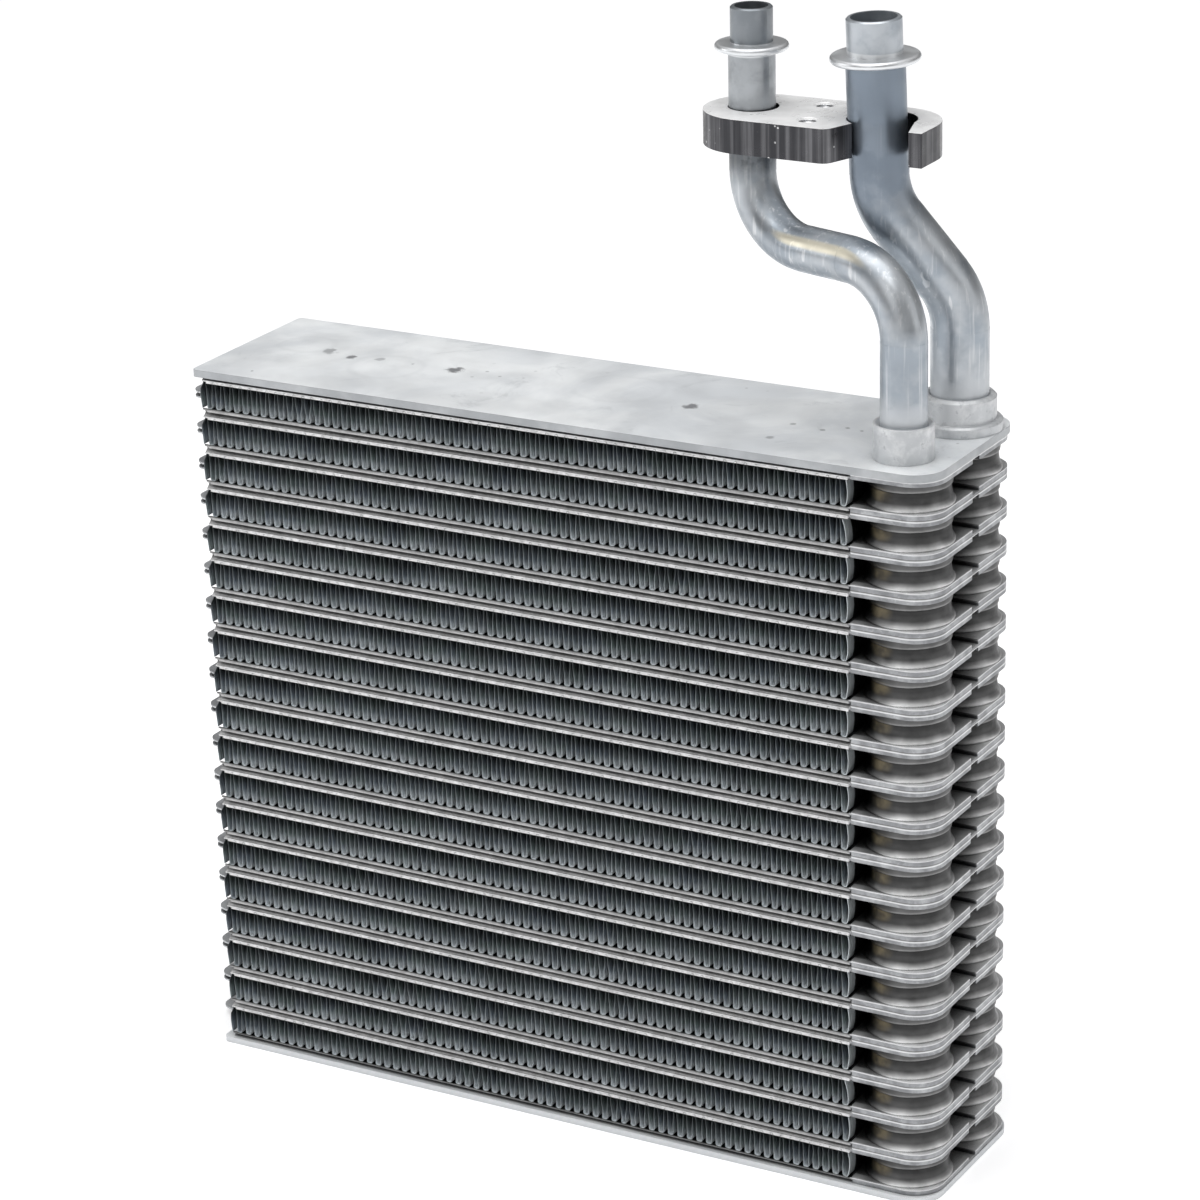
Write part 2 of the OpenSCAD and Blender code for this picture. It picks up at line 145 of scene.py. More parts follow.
def softEdges(tree, radius):
    return addNode(tree, "Bevel", {"samples": 6}, {"Radius": radius}).outputs[0]


def darken(tree, color, factor):
    level = addNode(tree, "CombineColor", {}, {0: factor, 1: factor, 2: factor}).outputs[0]
    return blendColors(tree, 1.0, color, level, "MULTIPLY")


def openness(tree, reach, low, high, floor):
    # Factor for painted shade: 1 on open surfaces, down to the floor value deep in gaps
    seen = addNode(tree, "AmbientOcclusion", {"samples": 6}, {"Distance": reach}).outputs["AO"]
    return rescale(tree, seen, low, high, floor, 1.0)


def joinUp(tree, shader, color, roughness, normal):
    tree.links.new(color, shader.inputs["Base Color"])
    tree.links.new(roughness, shader.inputs["Roughness"])
    tree.links.new(normal, shader.inputs["Normal"])


def axesOf(tree, vector):
    return addNode(tree, "SeparateXYZ", {}, {0: vector}).outputs


def upRow(tree, place, start=0.0):
    # How far up a row a point is, from 0 at one plate pair's middle plane to 1 at the next
    rise = calc(tree, "SUBTRACT", axesOf(tree, place)[2], stackBottom)
    turn = calc(tree, "DIVIDE", rise, rowPitch)
    return calc(tree, "FRACT", calc(tree, "ADD", turn, start))


def inPlane(tree, place):
    # How far a point is from the middle plane of the nearest plate pair
    part = upRow(tree, place, 0.5)
    return times(tree, calc(tree, "ABSOLUTE", calc(tree, "SUBTRACT", part, 0.5)), rowPitch)


def grey(value, warm=0.0):
    return (value * (1 + warm), value, value * (1 - warm), 1)


def toneByHeight(tree, height, stops):
    # Grey that follows a height through the given stops
    low, high = stops[0][0], stops[-1][0]
    part = addNode(tree, "MapRange", {}, {"Value": height, "From Min": low, "From Max": high}).outputs[0]
    ramp = addNode(tree, "ValToRGB", {}, {"Fac": part})
    for number, (level, tone) in enumerate(stops):
        spot = (level - low) / (high - low)
        element = ramp.color_ramp.elements[number] if number < 2 else ramp.color_ramp.elements.new(spot)
        element.position = spot
        element.color = grey(tone)
    return ramp.outputs["Color"]


# Drawn plates: brazed sheet with painted light and shade on the long edges, flange rims and necks, a painted highlight
# on the flange corners and painted shade in gaps
platePaint = {
    "sheet": (0.60, 0.615, 0.63, 1),
    "dull": (0.40, 0.41, 0.425, 1),
    "residue": (0.86, 0.87, 0.88, 1),
    # painted light and shade on the long edges: tone against the height above the pair's middle plane, in mm
    "edgeShading": [(-2.1, 0.55), (-1.6, 0.74), (-1.2, 0.72), (-0.95, 0.62), (-0.7, 0.42), (-0.45, 0.32), (0.1, 0.34),
             (0.3, 0.42), (0.7, 0.45), (1.0, 0.40), (1.2, 0.22), (1.4, 0.08)],
    # painted light and shade on the necks, the same way: cup under a flange, seam, waist, and foot on the next flange
    "neckShading": [(-5.45, 0.05), (-4.3, 0.035), (-4.1, 0.015), (-3.95, 0.30), (-3.3, 0.12), (-1.7, 0.08),
                  (1.65, 0.95), (2.2, 0.78), (2.9, 0.34), (3.8, 0.12), (5.45, 0.055)],
    # painted shade: how much darker a neck is at its two sides, and the level direction from one to the other
    "neckSideShade": (0.06, 0.5),
    "neckAcross": (0.857, 0.514),
    "tankAxis": (103.3 * mm, 15.3 * mm),
    "neckReach": 12.0 * mm,
    "neckStart": 1.7 * mm,
    # half the height of a flange's rim
    "rimHalf": 1.9 * mm,
    # painted highlight and painted shade on the flange rims
    "rimHighlight": (0.90, 0.905, 0.91, 1),
    "rimShade": (0.22, 0.225, 0.235, 1),
    # heights of the painted highlight lines on the flange rims above the pair's middle plane, and their width
    "rimHighlightLines": (1.45 * mm, -0.42 * mm),
    "rimLineWidth": 0.3 * mm,
    # reach of the painted highlight along the flange tops, and the depth from which it is brightest at the corners
    "patchLength": 5.5 * mm,
    "cornerDepth": 24.6 * mm,
    "edgeDepth": 26.6 * mm,
    "tankStart": 91.5 * mm,
    # painted gold glint under each flange: its colour, share and the direction it faces
    "paintedGoldGlint": (0.62, 0.50, 0.28, 1),
    "goldShare": (0.05, 0.16),
    "goldAim": (-0.35, -0.93),
    "seamHalf": 0.16 * mm,
    "gapReach": 14 * mm,
    "gapTone": 0.06,
    # scale of each pattern: a higher one is finer
    "patchScale": 90,
    "grainScale": 1500,
    "pitScale": 420,
    "waverScale": 120,
    "rimScale": 210,
    "neckScale": 170,
    "goldScale": 220,
    "dentScale": 240,
    "gloss": (260, 4, 0.30, 0.52),
    "rounding": 0.45 * mm,
    "metallic": 0.8,
}


def plateMaterial():
    paint = platePaint
    material, tree, shader, place = startMaterial("brazedPlate", paint["metallic"])
    x, y = axesOf(tree, place)[:2]
    off = inPlane(tree, place)
    normal = axesOf(tree, surfaceNormal(tree))
    tankStart = paint["tankStart"]
    patches = rescale(tree, cloud(tree, place, paint["patchScale"], 4), 0.38, 0.66)
    color = blendColors(tree, patches, paint["sheet"], paint["dull"])
    grains = cloud(tree, place, paint["grainScale"], 3, 0.7)
    color = blendColors(tree, rescale(tree, grains, 0.56, 0.70, 0, 0.65), color, paint["residue"])

    # long edges beside the fins, with painted light on the lips and painted shade in the groove and under the plate
    # above
    depth = calc(tree, "ABSOLUTE", y)
    nearEdge = rescale(tree, depth, paint["edgeDepth"] - 1.5 * mm, paint["edgeDepth"])
    signed = times(tree, calc(tree, "SUBTRACT", upRow(tree, place, 0.5), 0.5), rowPitch)
    onEdge = times(tree, nearEdge, rescale(tree, x, tankStart + 0.2 * mm, tankStart - 0.3 * mm))
    waver = calc(tree, "SUBTRACT", cloud(tree, place, paint["waverScale"], 2), 0.5)
    wavy = calc(tree, "ADD", signed, times(tree, waver, 0.3 * mm))
    wavyInMm = calc(tree, "DIVIDE", wavy, mm)
    pits = rescale(tree, cloud(tree, place, paint["pitScale"], 4, 0.7), 0.3, 0.7, 0.78, 1.12)
    # painted light and shade of the lips and groove, by height
    color = blendColors(tree, onEdge, color, darken(tree, toneByHeight(tree, wavyInMm, paint["edgeShading"]), pits))
    groove = times(tree, onEdge, rescale(tree, calc(tree, "ABSOLUTE", signed), 0.6 * mm, 0.2 * mm))

    # upright rims of the tank flanges: painted shade on their upright faces, with painted highlight lines
    onTank = rescale(tree, x, tankStart - 0.6 * mm, tankStart)
    upright = rescale(tree, calc(tree, "ABSOLUTE", normal[2]), 0.75, 0.5)
    onRim = times(tree, rescale(tree, off, paint["rimHalf"], paint["rimHalf"] - 0.2 * mm), onTank, upright)
    rimShading = rescale(tree, cloud(tree, place, paint["rimScale"], 4, 0.65), 0.3, 0.65, 0.45, 0.95)
    color = blendColors(tree, times(tree, onRim, rimShading), color, paint["rimShade"])
    for height in paint["rimHighlightLines"]:
        gap = calc(tree, "ABSOLUTE", calc(tree, "SUBTRACT", wavy, height))
        line = rescale(tree, gap, paint["rimLineWidth"], 0.05 * mm, 0, 0.7)
        color = blendColors(tree, times(tree, onRim, line), color, paint["rimHighlight"])

    # painted highlight on the upper faces of the flanges, brightest in the corner beside the fins
    upper = rescale(tree, normal[2], 0.6, 0.85)
    flat = times(tree, upper, onTank, rescale(tree, off, paint["rimHalf"] + 0.3 * mm, paint["rimHalf"]))
    patch = rescale(tree, x, tankStart + paint["patchLength"], tankStart + 0.3 * paint["patchLength"], 0.6, 1.0)
    topHighlight = times(tree, flat, patch)
    color = blendColors(tree, topHighlight, color, paint["rimHighlight"])
    cornerLit = rescale(tree, depth, paint["cornerDepth"], paint["cornerDepth"] + 1 * mm, 0, 0.85)
    cornerLit = times(tree, topHighlight, cornerLit)

    # necks: painted light and shade along their height, and painted shade towards both sides
    onNeck = times(tree, rescale(tree, off, paint["neckStart"] - 0.1 * mm, paint["neckStart"]), onTank)
    mottle = rescale(tree, cloud(tree, place, paint["neckScale"], 4, 0.6), 0.3, 0.7, 0.8, 1.15)
    neckShade = darken(tree, toneByHeight(tree, wavyInMm, paint["neckShading"]), mottle)
    axisX, axisY = paint["tankAxis"]
    fromX = calc(tree, "SUBTRACT", x, axisX)
    fromY = calc(tree, "SUBTRACT", y, times(tree, calc(tree, "SIGN", y), axisY))
    across = calc(tree, "ADD", times(tree, fromX, paint["neckAcross"][0]), times(tree, fromY, paint["neckAcross"][1]))
    across = calc(tree, "DIVIDE", across, paint["neckReach"])
    sideShade = times(tree, rescale(tree, across, -0.92, -0.3, paint["neckSideShade"][0], 1.0),
                  rescale(tree, across, 0.55, 0.98, 1.0, paint["neckSideShade"][1]))
    color = blendColors(tree, onNeck, color, darken(tree, neckShade, sideShade))

    # a painted gold glint under each flange, the dark seam of a pair, and painted shade deep in gaps
    toLeft = calc(tree, "ADD", times(tree, normal[0], paint["goldAim"][0]), times(tree, normal[1], paint["goldAim"][1]))
    paintedGoldGlint = times(tree, rescale(tree, toLeft, 0.90, 0.995), rescale(tree, off, 2.8 * mm, 4.4 * mm))
    paintedGoldGlint = times(tree, paintedGoldGlint, rescale(tree, cloud(tree, place, paint["goldScale"], 2), 0.35, 0.6, *paint["goldShare"]))
    color = blendColors(tree, paintedGoldGlint, color, paint["paintedGoldGlint"])
    seam = rescale(tree, off, paint["seamHalf"], 0.05 * mm, 0, 0.75)
    color = blendColors(tree, seam, color, grey(0.12, 0.05))
    shade = openness(tree, paint["gapReach"], 0.15, 0.62, paint["gapTone"])
    # the painted highlight in the corner holds off the painted shade
    color = darken(tree, color, calc(tree, "MAXIMUM", shade, cornerLit))

    rough = calc(tree, "ADD", unevenGloss(tree, place, paint["gloss"]), times(tree, groove, 0.15))
    foot = times(tree, onNeck, rescale(tree, signed, 4.2 * mm, 2.2 * mm), calc(tree, "GREATER_THAN", signed, 0.0))
    matt = times(tree, calc(tree, "MAXIMUM", foot, topHighlight), 0.5)
    tree.links.new(calc(tree, "SUBTRACT", paint["metallic"], matt), shader.inputs["Metallic"])
    bumps = bumped(tree, grains, 0.35, 0.08 * mm, softEdges(tree, paint["rounding"]))
    bumps = bumped(tree, cloud(tree, place, paint["dentScale"], 3), 0.25, 0.25 * mm, bumps)
    joinUp(tree, shader, color, rough, bumps)
    return material


# Fins: thin blue-grey sheet with louvres pressed across the air way, painted light making them palest low in each row,
# and painted shade high in each row and deep in the core
finPaint = {
    "leg": (0.36, 0.40, 0.43, 1),
    "green": (0.34, 0.41, 0.41, 1),
    "blue": (0.33, 0.38, 0.44, 1),
    "edge": (0.30, 0.335, 0.345, 1),
    # painted light on the floors of the low folds
    "floor": (0.93, 0.97, 1.0, 1),
    "shade": 0.2,
    # painted shade: distance from the middle of the core where the fins are at their darkest, and how dark
    "deep": 17 * mm,
    "dark": 0.26,
    # painted light and shade on the last leg of a row: pale near the front and black behind
    "leafShading": (0.66, 0.71, 0.73, 1),
    "leafBackShade": 0.015,
    "leafDepth": 3.6 * mm,
    "louvrePitch": 1.2 * mm,
    "louvreDepth": 0.2 * mm,
    "gloss": (400, 3, 0.3, 0.5),
    "metallic": 0.5,
}


def finMaterial():
    paint = finPaint
    material, tree, shader, place = startMaterial("finSheet", paint["metallic"])
    x, y = axesOf(tree, place)[:2]
    color = blendColors(tree, rescale(tree, cloud(tree, place, 150, 2), 0.4, 0.6), paint["leg"], paint["green"])
    bluish = rescale(tree, cloud(tree, place, 110, 2, shift=(0.3, 0.1, 0)), 0.45, 0.62)
    color = blendColors(tree, bluish, color, paint["blue"])
    normal = axesOf(tree, surfaceNormal(tree))
    edge = rescale(tree, calc(tree, "ABSOLUTE", normal[1]), 0.75, 0.95)
    uneven = times(tree, calc(tree, "SUBTRACT", cloud(tree, place, 70, 3), 0.5), 0.3)
    up = calc(tree, "ADD", upRow(tree, place), uneven)
    inside = rescale(tree, x, firstFinLow.x + 1 * mm, firstFinLow.x + 4 * mm, 0.3, 1.0)
    # painted light on the floors of the low folds, fading near the closed end
    color = blendColors(tree, times(tree, rescale(tree, up, 0.42, 0.16), inside), color, paint["floor"])
    color = blendColors(tree, edge, color, paint["edge"])
    # painted shade high in each row and deep in the core
    shade = rescale(tree, up, 0.3, 0.75, 1, paint["shade"])
    depth = calc(tree, "ABSOLUTE", y)
    light = rescale(tree, depth, paint["deep"], -frontEdge, paint["dark"], 1.0)
    color = darken(tree, color, calc(tree, "MAXIMUM", times(tree, shade, light), times(tree, edge, shade)))
    # painted light on the front of a row's last leg, painted shade behind
    lastLeg = rescale(tree, x, firstFinHigh.x - 0.9 * mm, firstFinHigh.x - 0.6 * mm)
    leafStart = -frontEdge - paint["leafDepth"]
    onLeaf = rescale(tree, depth, leafStart - 0.6 * mm, leafStart)
    leafShading = blendColors(tree, onLeaf, grey(paint["leafBackShade"]), paint["leafShading"])
    color = blendColors(tree, lastLeg, color, leafShading)
    louvre = calc(tree, "DIVIDE", calc(tree, "PINGPONG", y, paint["louvrePitch"] / 2), paint["louvrePitch"])
    bumps = bumped(tree, louvre, 0.5, paint["louvreDepth"])
    bumps = bumped(tree, cloud(tree, place, 900, 2), 0.2, 0.05 * mm, bumps)
    joinUp(tree, shader, color, unevenGloss(tree, place, paint["gloss"]), bumps)
    return material


# End plates: pale matt sheet with clouds, smudges and a few dark stains, with painted shade on the top plate's side
# faces, painted light on the bottom plate's, and painted shade in gaps
endPaint = {
    "face": (0.74, 0.765, 0.79, 1),
    "cloudy": (0.92, 0.94, 0.95, 1),
    "smudge": (0.55, 0.57, 0.59, 1),
    # painted shade on the top plate's side faces and painted light on the bottom plate's
    "topRimShade": (0.37, 0.385, 0.40, 1),
    "bottomRimLight": (0.80, 0.82, 0.84, 1),
    # grey rings where something round has stood: x, y and radius, in mm
    "rings": [(-66.0, -3.0, 11.0), (-98.0, 6.0, 8.0), (4.0, 6.0, 12.0)],
    "ringHalf": 1.6 * mm,
    "ringStrength": 0.12,
    "speckle": 0.25,
    "stain": (0.13, 0.13, 0.14, 1),
    # x, y and reach in mm, and strength, of each stain on the top face
    "stains": [(-46.6, 2.3, 5.5, 0.85), (30.2, 0.7, 4.5, 0.8), (-89.1, 3.2, 5.0, 0.55), (-80.6, 0.6, 3.4, 0.8),
               (-98.9, -23.1, 0.9, 0.8), (-71.4, 2.6, 2.6, 0.4), (-60.5, 2.3, 1.2, 0.6), (62.0, -15.0, 2.4, 0.5),
               (72.1, -3.4, 1.6, 0.6), (62.5, -2.0, 1.8, 0.5), (82.0, 0.3, 1.4, 0.6), (77.4, 1.1, 1.4, 0.6)],
    "gapReach": 6 * mm,
    "gloss": (70, 4, 0.34, 0.56),
    "rounding": 0.3 * mm,
    "dentDepth": 0.6 * mm,
    "metallic": 0.25,
}


def endMaterial(name, rimShading):
    paint = endPaint
    material, tree, shader, place = startMaterial(name, paint["metallic"])
    broad = rescale(tree, cloud(tree, place, 22, 5, 0.6, twist=0.6), 0.35, 0.65)
    color = blendColors(tree, broad, paint["face"], paint["cloudy"])
    smudges = rescale(tree, cloud(tree, place, 55, 6, 0.7, twist=1.2), 0.56, 0.74, 0, 0.55)
    color = blendColors(tree, smudges, color, paint["smudge"])
    dotted = rescale(tree, cloud(tree, place, 35), 0.5, 0.6, 0, 0.5)
    speckle = times(tree, rescale(tree, dots(tree, place, 170), 0.13, 0.05), dotted)
    color = blendColors(tree, speckle, color, grey(paint["speckle"]))
    ragged = calc(tree, "SUBTRACT", cloud(tree, place, 260, 4, 0.7), 0.5)
    for x, y, reach, strength in paint["stains"]:
        gap = distance(tree, place, (x * mm, y * mm, topPlateHigh.z))
        wavy = calc(tree, "ADD", gap, times(tree, ragged, reach * 1.6 * mm))
        stain = rescale(tree, wavy, reach * 0.62 * mm, reach * 0.25 * mm, 0, strength)
        color = blendColors(tree, stain, color, paint["stain"])
    bent = times(tree, calc(tree, "SUBTRACT", broad, 0.5), 2.5 * mm)
    for x, y, radius in paint["rings"]:
        wavy = calc(tree, "ADD", distance(tree, place, (x * mm, y * mm, topPlateHigh.z)), bent)
        off = calc(tree, "ABSOLUTE", calc(tree, "SUBTRACT", wavy, radius * mm))
        ring = rescale(tree, off, paint["ringHalf"], 0.2 * mm, 0, paint["ringStrength"])
        color = blendColors(tree, ring, color, paint["smudge"])
    # painted shade or painted light on the side faces, picked by which way a face points
    rim = rescale(tree, axesOf(tree, surfaceNormal(tree))[2], 0.8, 0.5)
    rim = times(tree, rim, rescale(tree, cloud(tree, place, 90, 4), 0.25, 0.6, 0.75, 1.0))
    color = blendColors(tree, rim, color, rimShading)
    # painted shade deep in gaps
    color = darken(tree, color, openness(tree, paint["gapReach"], 0.3, 0.8, 0.5))
    bumps = bumped(tree, cloud(tree, place, 45, 2), 0.25, paint["dentDepth"], softEdges(tree, paint["rounding"]))
    bumps = bumped(tree, cloud(tree, place, 1300, 2), 0.12, 0.05 * mm, bumps)
    joinUp(tree, shader, color, unevenGloss(tree, place, paint["gloss"]), bumps)
    return material


# Pipes: drawn tube with lengthwise brushing, scratches and pale braze dust near the sockets, a painted gold glint on
# the small pipe's level run and painted shade under the block
pipePaint = {
    "metal": (0.47, 0.495, 0.52, 1),
    "cool": (0.30, 0.34, 0.385, 1),
    "brush": 0.85,
    "scratch": 0.95,
    "dust": (0.62, 0.64, 0.66, 1),
    "dustTop": 20 * mm,
    "bead": (0.74, 0.755, 0.77, 1),
    "beadHalf": 1.9 * mm,
    # painted gold glint on the small pipe's level run: colour, direction it faces and heights above the top plate
    "paintedGoldGlint": (0.80, 0.72, 0.52, 1),
    "goldAim": (-0.25, -0.80, 0.54),
    "goldRise": (40 * mm, 46 * mm),
    "goldFade": (62 * mm, 57 * mm),
    # tone of each pipe above its bead and between bead and block, painted shade under the block and how far it reaches,
    # and the bead's middle below the pipe's end
    "small": ((0.22, 0.24, 0.26, 1), (0.42, 0.44, 0.46, 1), (0.05, 0.055, 0.06, 1), 13 * mm, 11.3 * mm),
    "large": ((0.52, 0.55, 0.58, 1), (0.22, 0.26, 0.31, 1), (0.18, 0.215, 0.26, 1), 24 * mm, 10.6 * mm),
    "gloss": (140, 3, 0.28, 0.44),
    "metallic": 0.85,
}


def pipeMaterial(name, pipe, paintedGlint):
    paint = pipePaint
    material, tree, shader, place = startMaterial(name, paint["metallic"])
    z = axesOf(tree, place)[2]
    plateTop = topPlateHigh.z
    cool = rescale(tree, cloud(tree, place, 60, 4, 0.6), 0.42, 0.64, 0, 0.8)
    color = blendColors(tree, cool, paint["metal"], paint["cool"])
    brush = cloud(tree, place, 900, 3, 0.6, stretch=(1, 1, 0.04))
    color = blendColors(tree, rescale(tree, brush, 0.55, 0.7, 0, 0.3), color, grey(paint["brush"]))
    scratch = cloud(tree, place, 420, 2, 0.5, stretch=(1, 1, 0.12), shift=(0.2, 0.1, 0.4))
    scratch = times(tree, rescale(tree, scratch, 0.66, 0.70), 0.35)
    color = blendColors(tree, scratch, color, grey(paint["scratch"]))

    # painted shade under the block, and tones above and beyond it
    endTone, middleTone, belowShade, belowReach, beadDrop = paint[pipe]
    blockLow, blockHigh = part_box("retaining_block")
    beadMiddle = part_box(pipe + "_pipe")[1].z - beadDrop
    mottle = rescale(tree, cloud(tree, place, 110, 4, 0.6), 0.3, 0.6, 0.45, 0.95)
    near = rescale(tree, z, blockLow.z - belowReach, blockLow.z - 0.3 * belowReach)
    # painted shade under the block
    color = blendColors(tree, times(tree, near, calc(tree, "MAXIMUM", mottle, 0.8)), color, belowShade)
    middle = rescale(tree, z, blockHigh.z - 1 * mm, blockHigh.z + 1 * mm)
    color = blendColors(tree, times(tree, middle, mottle), color, middleTone)
    atEnd = rescale(tree, z, beadMiddle, beadMiddle + 1 * mm)
    color = blendColors(tree, times(tree, atEnd, mottle), color, endTone)
    offBead = calc(tree, "ABSOLUTE", calc(tree, "SUBTRACT", z, beadMiddle))
    atBead = rescale(tree, offBead, paint["beadHalf"], paint["beadHalf"] - 0.5 * mm)
    color = blendColors(tree, atBead, color, paint["bead"])
    # painted gold glint on the side facing the given direction
    if paintedGlint:
        aim = Vector(paint["goldAim"]).normalized()
        facing = addNode(tree, "VectorMath", {"operation": "DOT_PRODUCT"}, {0: surfaceNormal(tree), 1: aim})
        paintedGoldGlint = times(tree, rescale(tree, facing.outputs["Value"], 0.955, 0.995, 0, 0.6),
                     rescale(tree, z, *(plateTop + height for height in paint["goldRise"])),
                     rescale(tree, z, *(plateTop + height for height in paint["goldFade"])))
        color = blendColors(tree, paintedGoldGlint, color, paint["paintedGoldGlint"])
    low = rescale(tree, z, plateTop + paint["dustTop"], plateTop + paint["dustTop"] * 0.55)
    dust = times(tree, low, rescale(tree, cloud(tree, place, 130, 4, 0.65), 0.3, 0.5))
    color = blendColors(tree, times(tree, dust, 0.85), color, paint["dust"])
    rough = calc(tree, "ADD", unevenGloss(tree, place, paint["gloss"]), times(tree, dust, 0.25))
    bumps = bumped(tree, brush, 0.12, 0.05 * mm)
    bumps = bumped(tree, cloud(tree, place, 70, 2), 0.12, 0.6 * mm, bumps)
    joinUp(tree, shader, color, rough, bumps)
    return material


# Sockets: turned, then whitened and dulled by the brazing
socketPaint = {
    "metal": (0.56, 0.575, 0.59, 1),
    "dust": (0.74, 0.75, 0.76, 1),
    "dull": (0.36, 0.37, 0.39, 1),
    "gloss": (200, 3, 0.4, 0.6),
    "rounding": 0.4 * mm,
    "metallic": 0.55,
}


def socketMaterial():
    paint = socketPaint
    material, tree, shader, place = startMaterial("brazedSocket", paint["metallic"])
    wiped = rescale(tree, cloud(tree, place, 120, 5, 0.65), 0.38, 0.6)
    color = blendColors(tree, wiped, paint["dust"], paint["metal"])
    spots = rescale(tree, cloud(tree, place, 330, 4, 0.7), 0.58, 0.72, 0, 0.7)
    color = blendColors(tree, spots, color, paint["dull"])
    bumps = bumped(tree, cloud(tree, place, 900, 4, 0.7), 0.35, 0.12 * mm, softEdges(tree, paint["rounding"]))
    joinUp(tree, shader, color, unevenGloss(tree, place, paint["gloss"]), bumps)
    return material


# Retaining block: satin sawn faces, dark extruded sides with upright streaks
blockPaint = {
    "face": (1.0, 1.0, 1.0, 1),
    "faceCloud": 0.8,
    "side": (0.05, 0.05, 0.055, 1),
    "streak": (0.19, 0.19, 0.2, 1),
    "nick": (0.9, 0.9, 0.9, 1),
    "thread": (0.80, 0.80, 0.81, 1),
    "threadPitch": 1.0 * mm,
    "threadDepth": 0.4 * mm,
    "holeReach": 2.75 * mm,
    "gloss": (240, 3, 0.26, 0.42),
    "rounding": 0.35 * mm,
    # on the faces and on the sides
    "metallic": (0.15, 0.85),
}


def blockMaterial():
    paint = blockPaint
    faceMetal, sideMetal = paint["metallic"]
    material, tree, shader, place = startMaterial("extrudedBar", sideMetal)
    x, y, z = axesOf(tree, place)
    onSide = rescale(tree, calc(tree, "ABSOLUTE", axesOf(tree, surfaceNormal(tree))[2]), 0.7, 0.3)
    streaks = cloud(tree, place, 420, 4, 0.65, stretch=(1, 1, 0.015))
    side = blendColors(tree, rescale(tree, streaks, 0.42, 0.72), paint["side"], paint["streak"])
    scattered = rescale(tree, cloud(tree, place, 140), 0.52, 0.62)
    nick = times(tree, rescale(tree, dots(tree, place, 420), 0.16, 0.08), scattered)
    side = blendColors(tree, nick, side, paint["nick"])
    clouded = rescale(tree, cloud(tree, place, 160, 4), 0.45, 0.7, 0, 0.35)
    face = blendColors(tree, clouded, paint["face"], grey(paint["faceCloud"]))
    color = blendColors(tree, onSide, face, side)
    flat = addNode(tree, "CombineXYZ", {}, {0: x, 1: y, 2: 0.0}).outputs[0]
    inHole = 0.0
    for hole in tappedHoles:
        near = calc(tree, "LESS_THAN", distance(tree, flat, (hole.x, hole.y, 0)), paint["holeReach"])
        inHole = calc(tree, "MAXIMUM", inHole, near)
    color = blendColors(tree, times(tree, inHole, onSide), color, paint["thread"])
    tree.links.new(rescale(tree, onSide, 0.0, 1.0, faceMetal, sideMetal), shader.inputs["Metallic"])
    bumps = bumped(tree, streaks, 0.2, 0.06 * mm, softEdges(tree, paint["rounding"]))
    bumps = bumped(tree, cloud(tree, place, 1200, 2, stretch=(0.15, 1, 1)), 0.1, 0.04 * mm, bumps)
    thread = calc(tree, "DIVIDE", calc(tree, "PINGPONG", z, paint["threadPitch"] / 2), paint["threadPitch"] / 2)
    bumps = bumped(tree, times(tree, thread, inHole), 0.9, paint["threadDepth"], bumps)
    joinUp(tree, shader, color, unevenGloss(tree, place, paint["gloss"]), bumps)
    return material


def dress(names, material):
    for name in names:
        node = nodes[name]
        node.data.materials.clear()
        node.data.materials.append(material)


finMetal = finMaterial()
plateMetal = plateMaterial()
dress(pairNames + ["bottom_half_plate", "top_half_plate"], plateMetal)
dress(["top_end_plate"], endMaterial("topPlateSheet", endPaint["topRimShade"]))
dress(["bottom_end_plate"], endMaterial("bottomPlateSheet", endPaint["bottomRimLight"]))
dress(["small_pipe"], pipeMaterial("smallTube", "small", True))
dress(["large_pipe"], pipeMaterial("largeTube", "large", False))
dress(["small_pipe_socket", "large_pipe_socket"], socketMaterial())
dress(["retaining_block"], blockMaterial())
print("materials set on", len(nodes) - len(finNames), "nodes")


# Fins: one thin strip folded to and fro, never quite evenly
finForm = {
    "pitch": 3.04 * mm,
    "sheet": 0.13 * mm,
    "crestHalf": (0.86 * mm, 0.38 * mm),
    "crestDrop": (0.5 * mm, 0.35 * mm),
    "crestSteps": 4,
    "legSteps": 4,
    "bulge": (0.06 * mm, 0.16 * mm),
    "sway": 0.06 * mm,
    "kink": 0.2 * mm,
    "freeLeg": 0.25 * mm,
    "freeBulge": 0.45 * mm,
    # random wave of each cut edge, how deep it reaches, and its steps per metre along x and z
    "edgeCurl": 0.07 * mm,
    "curlDepth": 3.0 * mm,
    "curlSteps": (700, 260),
    # steps of the slow changes from fold to fold, and the crush from which a leg is kinked
    "swayStep": 0.23,
    "crushStep": 0.07,
    "crushFrom": 0.42,
    "sharpFrom": 50,
    "seed": 100,
    # how far the top of a row's last leg leans towards the fin
    "lastLean": {3: 1.0 * mm, 18: 1.3 * mm},
}


def swayOf(fold, row):
    form = finForm
    return form["sway"] * noise.noise(Vector((fold * form["swayStep"], row * 3.7, 0.5))) * 2


